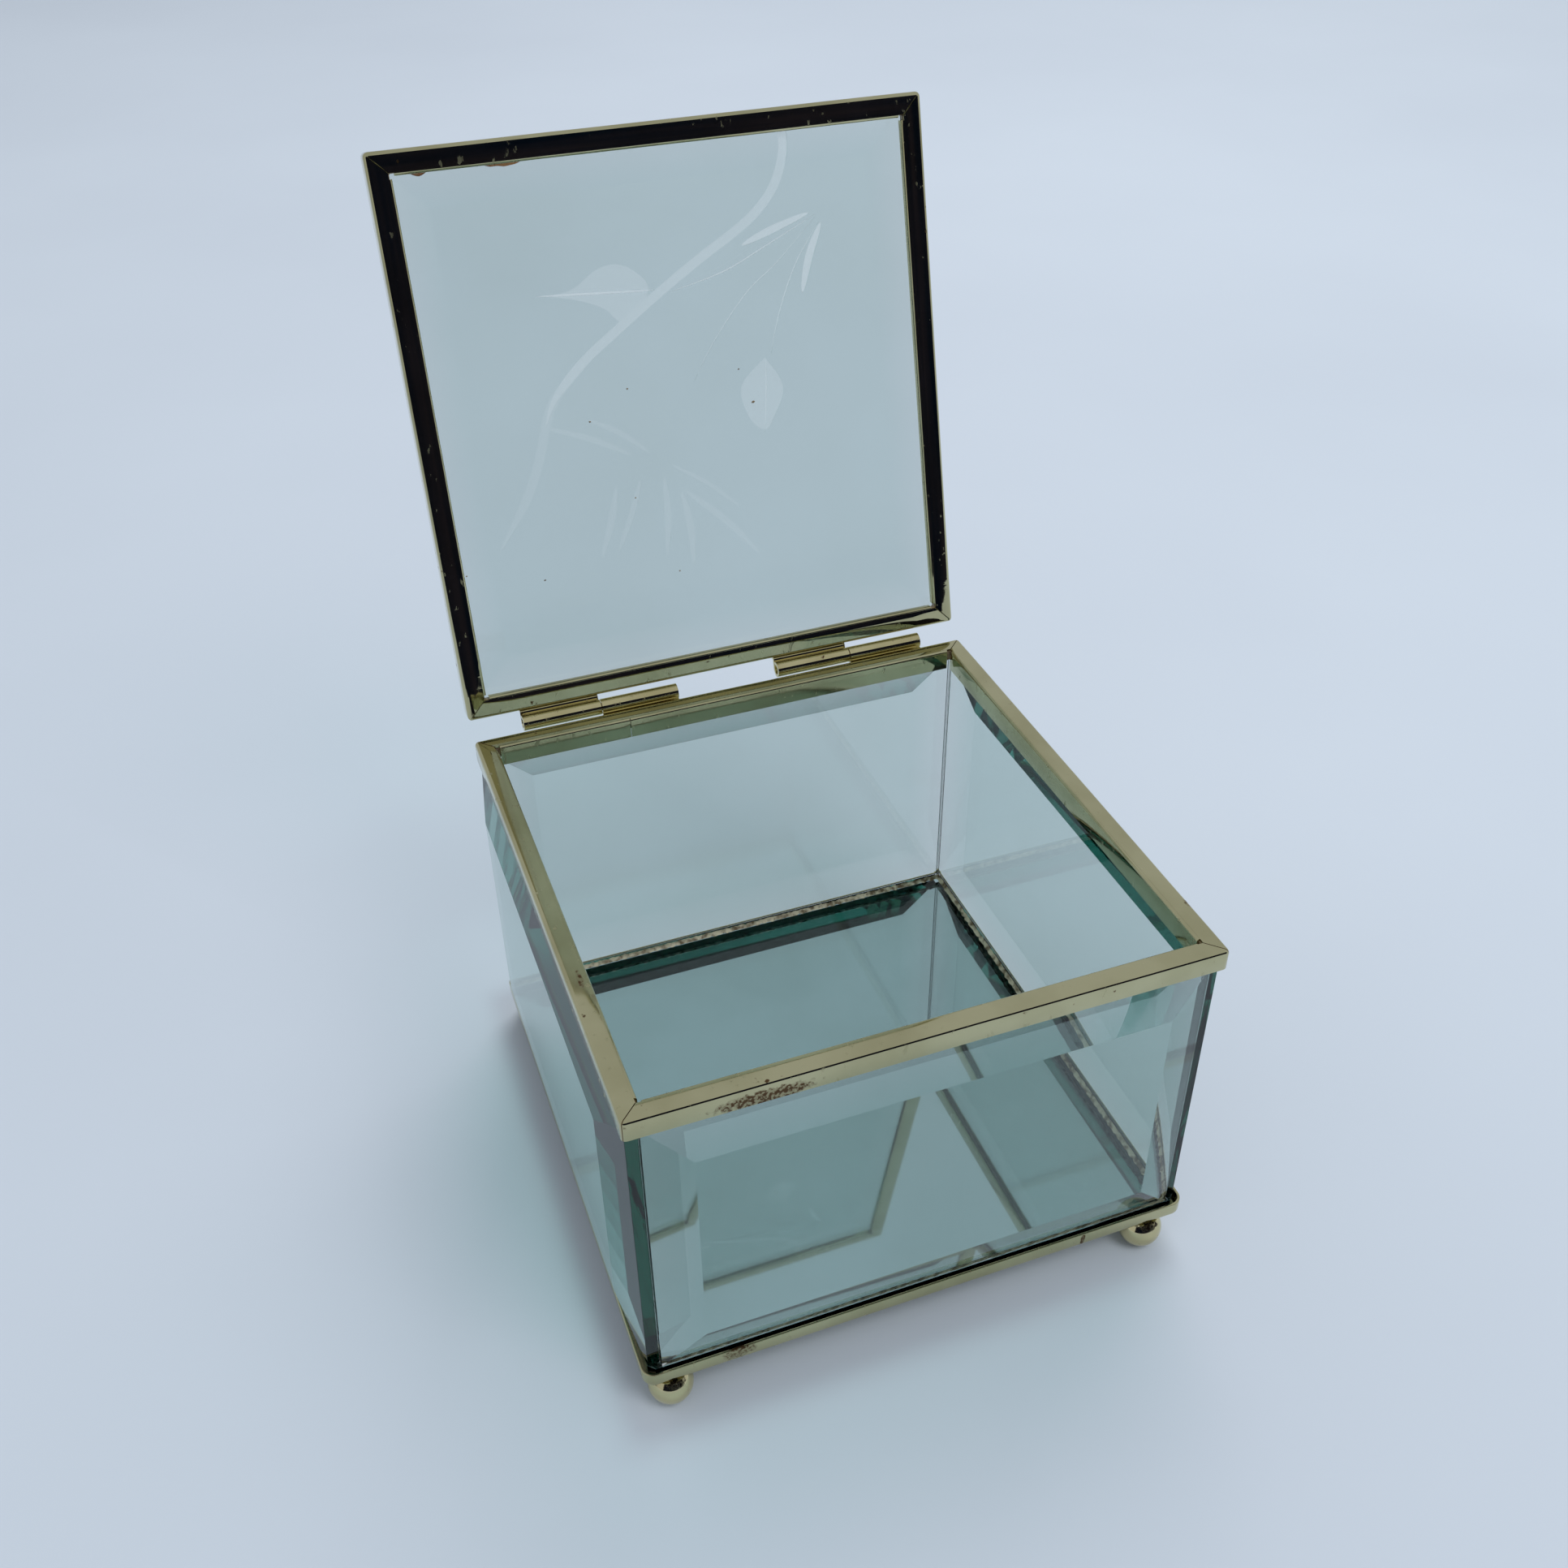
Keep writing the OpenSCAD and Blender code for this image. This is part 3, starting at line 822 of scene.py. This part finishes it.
# %% Bedding in the channels
bed_gap = 0.02 * MM
bed_bite = 0.02 * MM
bed_corner_r = 0.3 * MM


def bedding(name, node, flange_w, low_z, high_z, body, matrix, bite):
    """A ring of glue that fills the bottom of a channel and bites a hair's breadth into the glass."""
    outer = sheet_t + bed_gap
    inner = flange_w - sheet_t - bed_gap
    section = [(outer, low_z), (outer, high_z), ((outer + inner) / 2, high_z + bite),
               (inner, high_z + bite), (inner, low_z)]
    rings = [rounded_square(half_w - inset, half_d - inset, bed_corner_r, z, 3) for inset, z in section]
    points, faces = join_rings(rings, True)
    piece = make_piece(name, points, faces, channel_glue, body, matrix)
    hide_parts(node)


rim_bed_low, rim_bed_high = node_box["rim_bedding"]
bedding("rim_glue", "rim_bedding", rim_flange_w, rim_bed_high.z - bed_gap, rim_bed_low.z,
        "box", as_drawn, -bed_bite)
bedding("lid_glue", "lid_bedding", lid_flange_w, lid_z + sheet_t + bed_gap, lid_z + lid_lip_h,
        "lid", swing_open, bed_bite)

# %% [markdown]
# ## Lid glass with its cut spray
# A wheel cutter grinds each line and leaf into the glass and leaves it matt. Painting it would look right
# from one side only. So every stroke is a slim cutter with a flat bottom, a few hundredths of a millimetre
# deep, and a boolean takes it out of the pane. The new faces carry their depth as a mark, and the material
# makes them whiter and more matt the deeper they are.

# %% Smooth lines through a few points
def smooth_path(knots, per_span=8):
    """A curve through the knots, with its direction at each knot set by the two beside it."""
    knots = [Vector(knot) for knot in knots]
    path = []
    for k in range(len(knots) - 1):
        before = knots[max(k - 1, 0)]
        start, end = knots[k], knots[k + 1]
        after = knots[min(k + 2, len(knots) - 1)]
        for step in range(per_span):
            t = step / per_span
            leave = (end - before) / 2
            arrive = (after - start) / 2
            path.append(start * (2 * t ** 3 - 3 * t ** 2 + 1) + leave * (t ** 3 - 2 * t ** 2 + t)
                        + end * (3 * t ** 2 - 2 * t ** 3) + arrive * (t ** 3 - t ** 2))
    path.append(knots[-1])
    return path


# %% Cutters
# Places on the lid are in mm: the first number runs to the right, the second up from the hinge line
lid_glass_z = lid_z + lid_lip_h
above_glass = -0.2 * MM
faint_cut = 0.02 * MM
soft_cut = 0.045 * MM
bright_cut = 0.08 * MM
cut_floor_share = 0.9


def on_lid(spot, depth):
    return (spot[0] * MM, hinge_point.y - spot[1] * MM, lid_glass_z + depth)


def line_cutter(knots, width, depth, blunt=False):
    """A shallow flat-bottomed stroke. Both its ends are pointed, or only the last one if it is blunt."""
    taper = 5
    blunt_end_share = 0.1
    fullness = 0.6
    point_share = 0.03
    path = smooth_path(knots)
    rings = []
    for k, spot in enumerate(path):
        way = k / (len(path) - 1)
        if blunt:
            swell = min(taper * (1 - way) + blunt_end_share, 1)
        else:
            swell = max(math.sin(math.pi * way) ** fullness, point_share)
        before = path[max(k - 1, 0)]
        after = path[min(k + 1, len(path) - 1)]
        side = (after - before).orthogonal().normalized() * width / 2 * swell
        rings.append([on_lid(spot + side, above_glass), on_lid(spot - side, above_glass),
                      on_lid(spot - cut_floor_share * side, depth),
                      on_lid(spot + cut_floor_share * side, depth)])
    return join_rings(rings, False)


def leaf_cutter(knots, depth):
    """A shallow flat-bottomed patch with a smooth outline."""
    outline = smooth_path(list(knots) + [knots[0]], 5)[:-1]
    rings = [[on_lid(spot, z) for spot in outline] for z in (above_glass, depth)]
    return join_rings(rings, False)


cutters = [
    leaf_cutter(((-23.9, 78.1), (-18.7, 78.7), (-14.1, 81.4), (-10.3, 82.0), (-7.0, 80.5), (-4.6, 76.7),
                 (-9.1, 71.6), (-11.3, 72.3), (-13.3, 74.5), (-17.9, 76.6)), soft_cut * 0.8),
    leaf_cutter(((16.4, 61.6), (19.5, 55.7), (17.0, 50.2), (14.9, 48.1), (12.0, 50.9), (11.1, 57.0)),
                soft_cut * 0.8),
    line_cutter(((23.9, 101.4), (23.6, 97.0), (21.0, 91.4), (15.5, 86.4), (5.4, 80.8), (-3.1, 75.8),
                 (-10.7, 71.0), (-18.4, 65.9), (-24.6, 60.2), (-27.3, 55.4)), 1.9, soft_cut, True),
    line_cutter(((-18.4, 65.9), (-24.6, 60.2), (-27.3, 55.4), (-29.4, 49.6), (-33.0, 42.6), (-39.6, 33.6)),
                1.95, faint_cut, True),
    line_cutter(((-25.5, 78.3), (-15.1, 77.5), (-3.5, 76.6)), 0.45, bright_cut),
    line_cutter(((16.6, 61.9), (15.9, 55.0), (14.9, 47.6)), 0.3, soft_cut * 1.4),
    line_cutter(((14.0, 82.3), (20.0, 84.3), (27.8, 86.5)), 1.5, bright_cut * 0.8),
    line_cutter(((30.0, 84.6), (27.1, 78.8), (25.1, 72.4)), 1.7, bright_cut * 0.8),
    line_cutter(((28.9, 86.0), (18.1, 81.4), (9.8, 78.1), (-1.0, 75.8)), 0.28, bright_cut * 0.9),
    line_cutter(((28.9, 85.6), (20.7, 78.6), (14.1, 73.9), (6.7, 66.0), (1.9, 59.2)), 0.25,
                bright_cut * 0.7),
    line_cutter(((29.5, 84.6), (24.2, 77.7), (20.1, 69.4), (17.7, 62.2)), 0.28, bright_cut * 0.8)]
# Each petal has the place of its base, the place of its tip, and its width
bloom_petals = (((-4.5, 44.5), (8.3, 34.0), 0.9), ((-2.7, 39.4), (11.4, 24.0), 1.5),
                ((-3.1, 39.1), (-2.4, 24.5), 1.6), ((-6.2, 42.5), (-7.6, 27.0), 1.5),
                ((-8.5, 47.5), (-19.2, 55.3), 1.2), ((-11.7, 47.4), (-27.6, 55.1), 1.3),
                ((-15.7, 42.1), (-20.4, 29.0), 1.5), ((-10.8, 42.8), (-17.0, 29.6), 1.3))
petal_bend = (0.5, 0.4)
for base, tip, width in bloom_petals:
    bend = Vector(((base[0] + tip[0]) / 2 + petal_bend[0], (base[1] + tip[1]) / 2 + petal_bend[1]))
    cutters.append(line_cutter((base, bend, tip), width, faint_cut))
print(len(cutters), "cuts in the lid glass")


# %% Cut the pane
def plain_object(name, points, faces):
    mesh = bpy.data.meshes.new(name)
    mesh.from_pydata(points, [], faces)
    shape = bmesh.new()
    shape.from_mesh(mesh)
    bmesh.ops.recalc_face_normals(shape, faces=shape.faces)
    bmesh.ops.triangulate(shape, faces=shape.faces)
    shape.to_mesh(mesh)
    shape.free()
    return add_object(name, mesh)


def cut_away(target, cutter):
    cut = target.modifiers.new("cut", "BOOLEAN")
    cut.operation = "DIFFERENCE"
    cut.solver = "MANIFOLD"
    cut.object = cutter
    ready = target.evaluated_get(bpy.context.evaluated_depsgraph_get())
    result = bpy.data.meshes.new_from_object(ready)
    target.modifiers.remove(cut)
    target.data = result


lid_shape = pane_shape("lid_glass")
rub_arrises(lid_shape)
lid_shape.transform(swing_open.inverted())
lid_blank = add_object("lid_blank", bpy.data.meshes.new("lid_blank"))
lid_shape.to_mesh(lid_blank.data)
lid_shape.free()
for k, (points, faces) in enumerate(cutters):
    cutter = plain_object("cutter_" + str(k), points, faces)
    cut_away(lid_blank, cutter)
    bpy.data.objects.remove(cutter)
lid_mesh = lid_blank.data
bpy.data.objects.remove(lid_blank)

# %% Mark the cuts as ground and open the lid
least_cut = 0.004 * MM
edge_band = 1.5 * MM
ground_curve = 1.25
on_cut = []
for face in lid_mesh.polygons:
    centre = face.center
    in_cut = lid_glass_z + least_cut < centre.z < lid_glass_z + 2 * bright_cut
    off_edge = (abs(centre.x) < half_w - edge_band) and (abs(centre.y - middle_y) < half_d - edge_band)
    if in_cut and off_edge:
        on_cut.append((face.index, centre.z - lid_glass_z))
lid_mesh.transform(swing_open)
lid_mesh.materials.clear()
lid_mesh.materials.append(cut_glass)
lid_mesh.shade_flat()
mark = lid_mesh.attributes.new("ground", "FLOAT", "FACE")
for index, depth in on_cut:
    mark.data[index].value = min(depth / bright_cut, 1.0) ** ground_curve
lid_pane = add_object("lid_pane", lid_mesh)
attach(lid_pane, "lid")
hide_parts("lid_glass")
print(len(on_cut), "ground faces of", len(lid_mesh.polygons))

# %% [markdown]
# ## Dirt on the lid
# Specks of dust have settled on the inside of the lid, and some amber glue has crept out from under the
# frame at the top. Each speck is a tiny squashed lump. The glue is a strip that swells and thins out again
# along the edge of the frame, as a drop does when it sets on its way down.

# %% Specks
# Sizes and places are in mm on the lid. Each speck has its place and how many times the usual size it is
speck_size = 0.22
speck_sides = 10
specks = (((13.1, 53.7), 1.6), ((-19.0, 54.9), 1.0), ((-11.1, 59.8), 1.0), ((10.9, 60.2), 0.8),
          ((-12.3, 39.4), 0.9), ((-32.0, 26.8), 1.0), ((-5.5, 23.7), 0.8), ((-46.5, 30.3), 0.9))
speck_profile = ((1.0, -0.01), (0.85, 0.35), (0.35, 0.6), (0.02, 0.65))
speck_narrow = 0.7
speck_flat = 0.5


def speck_ring(place, reach, share, lift):
    """One ragged line round a speck, at a share of its reach and a height of lift times its reach."""
    raggedness = 0.5
    ring = []
    for k in range(speck_sides):
        turn = 2 * math.pi * k / speck_sides
        seed = Vector((place[0] + 3 * math.cos(turn), place[1] + 3 * math.sin(turn), 0))
        ragged = 1 + raggedness * noise.noise(seed)
        spot = (place[0] + reach * share * ragged * math.cos(turn),
                place[1] + speck_narrow * reach * share * ragged * math.sin(turn))
        ring.append(on_lid(spot, -lift * reach * MM * speck_flat))
    return ring


speck_points = []
speck_faces = []
for place, times in specks:
    rings = [speck_ring(place, speck_size * times, share, lift) for share, lift in speck_profile]
    points, faces = join_rings(rings, False)
    speck_faces += [tuple(index + len(speck_points) for index in face) for face in faces]
    speck_points += points
make_piece("lid_specks", speck_points, speck_faces, channel_glue, "lid", swing_open)
print(len(specks), "specks")

# %% Glue that crept out
# Lengths are in mm on the lid, and a height below 0 stands clear of the glass
frame_edge = 101.1
drip_w = 1.3
drip_share = 0.35
hang_share = 0.6
hang_h = -0.25
edge_h = -0.4
end_share = 0.04
creep_fullness = 0.7
creep_steps = 24


def glue_creep(name, start, stop, droop):
    """A strip of set glue along the frame's top inner edge."""
    rings = []
    for k in range(creep_steps + 1):
        x = start + (stop - start) * k / creep_steps
        way = end_share + (1 - 2 * end_share) * k / creep_steps
        swell = math.sin(math.pi * way) ** creep_fullness
        hang = droop * swell * (1 + drip_share * noise.noise(Vector((x / drip_w, droop, 0))))
        rings.append([on_lid((x, frame_edge), hair), on_lid((x, frame_edge - hang), hair),
                      on_lid((x, frame_edge - hang * hang_share), hang_h * swell * MM),
                      on_lid((x, frame_edge), edge_h * swell * MM)])
    points, faces = join_rings(rings, False)
    glue = make_piece(name, points, faces, amber_glue, "lid", swing_open)


glue_creep("glue_creep_left", -43.7, -41.0, 0.5)
glue_creep("glue_creep_right", -31.0, -24.6, 0.55)

# %% [markdown]
# ## Studio
# A pale sheet to stand on, a soft sky and two large lamps. The one behind on the right throws the shadow to
# the front, and the one in front on the right softens it. Both are kept out of reflections, because they
# would glare in the mirror. Polished brass shows what stands round it, and in an all-white room it looks
# like paper. So a dark card stands out of sight in front, and only reflections see it. The frame of the
# open lid mirrors it and goes nearly black.

# %% Sheets of card
def make_card_stock(name, cloud, first, second, roughness, shine):
    """Card with two close colours in clouds. cloud holds the noise's scale, low and high."""
    material, tree, output, where = new_material(name)
    colour = mix_colours(tree, noise_mask(tree, where, *cloud), first, second)
    shader = add_node(tree, "ShaderNodeBsdfPrincipled",
                      {"Base Color": colour, "Roughness": roughness, "Specular IOR Level": shine})
    tree.links.new(shader.outputs[0], output.inputs["Surface"])
    return material


def sheet(name, corners, material):
    mesh = bpy.data.meshes.new(name)
    mesh.from_pydata(corners, [], [tuple(range(len(corners)))])
    mesh.materials.append(material)
    thing = add_object(name, mesh)
    return thing


# %% Floor
# Lengths in the studio are in metres
reach = 3.0
pale_sheet = make_card_stock("pale_sheet", (3, 0.3, 0.8), (0.60, 0.665, 0.74, 1),
                             (0.55, 0.61, 0.685, 1), roughness=0.6, shine=0.5)
sheet("floor", [(-reach, -reach, 0), (reach, -reach, 0), (reach, reach, 0), (-reach, reach, 0)], pale_sheet)

# %% Dark card
card_y = -0.97
card_half_w = 1.15
card_low = 0.004
card_high = 0.82
card_corners = [(-card_half_w, card_y, card_low), (card_half_w, card_y, card_low),
                (card_half_w, card_y, card_high), (-card_half_w, card_y, card_high)]
dark_card = make_card_stock("dark_card", (4, 0.35, 0.65), (0.003, 0.007, 0.020, 1),
                            (0.020, 0.017, 0.030, 1), roughness=0.8, shine=0.0)
card = sheet("dark_card", card_corners, dark_card)
card.visible_camera = False
card.visible_diffuse = False
card.visible_transmission = False
card.visible_shadow = False

# %% Sky and lamps
sky_colour = (0.93, 0.98, 1.05, 1)
sky_strength = 0.55
lamp_target = (0, 0, 0.05)
world = bpy.data.worlds.new("sky")
bpy.context.scene.world = world
world.use_nodes = True
background = world.node_tree.nodes["Background"]
background.inputs["Color"].default_value = sky_colour
background.inputs["Strength"].default_value = sky_strength


def add_lamp(name, place, size, watts):
    lamp = bpy.data.lights.new(name, "AREA")
    lamp.shape = "SQUARE"
    lamp.size = size
    lamp.energy = watts
    holder = add_object(name, lamp)
    holder.location = place
    holder.visible_glossy = False
    holder.visible_transmission = False
    holder.rotation_mode = "QUATERNION"
    holder.rotation_quaternion = (Vector(lamp_target) - Vector(place)).to_track_quat("-Z", "Y")


add_lamp("key_lamp", place=(0.60, 0.80, 1.45), size=0.9, watts=11.5)
add_lamp("softbox", place=(0.46, -0.92, 1.40), size=0.7, watts=8.5)
print("lamps:", [lamp.name for lamp in bpy.data.lights])

# %% [markdown]
# ## Camera
# The camera stands where the real one did. Its place, its three axes and its lens were worked out from the
# box's own straight edges. They are written as a matrix, which also keeps the slight roll of the real one.
# Light passes many panes on its way out of the box, so it may bounce more often than is usual.

# %% Place the camera
camera_data = bpy.data.cameras.new("camera")
camera_data.sensor_width = 36.0
camera_data.lens = 37.264
camera_data.clip_start = 0.01
camera_data.clip_end = 20
camera = add_object("camera", camera_data)
camera_right = Vector((0.93720, -0.34860, -0.01179))
camera_up = Vector((0.21777, 0.55840, 0.80048))
camera_forward = Vector((0.27246, 0.75277, -0.59925))
camera_place = Vector((-82.09, -208.43, 241.56)) * MM + Vector((0, middle_y, tray_high.z))
camera.matrix_world = Matrix((
    (camera_right.x, camera_up.x, -camera_forward.x, camera_place.x),
    (camera_right.y, camera_up.y, -camera_forward.y, camera_place.y),
    (camera_right.z, camera_up.z, -camera_forward.z, camera_place.z),
    (0, 0, 0, 1)))
bpy.context.scene.camera = camera
print("camera at", [round(v / MM) for v in camera_place], "mm")

# %% Picture settings
scene = bpy.context.scene
scene.view_settings.view_transform = "Standard"
glass_bounces = 24
metal_bounces = 12
scene.cycles.max_bounces = glass_bounces
scene.cycles.transmission_bounces = glass_bounces
scene.cycles.glossy_bounces = metal_bounces
scene.cycles.transparent_max_bounces = glass_bounces
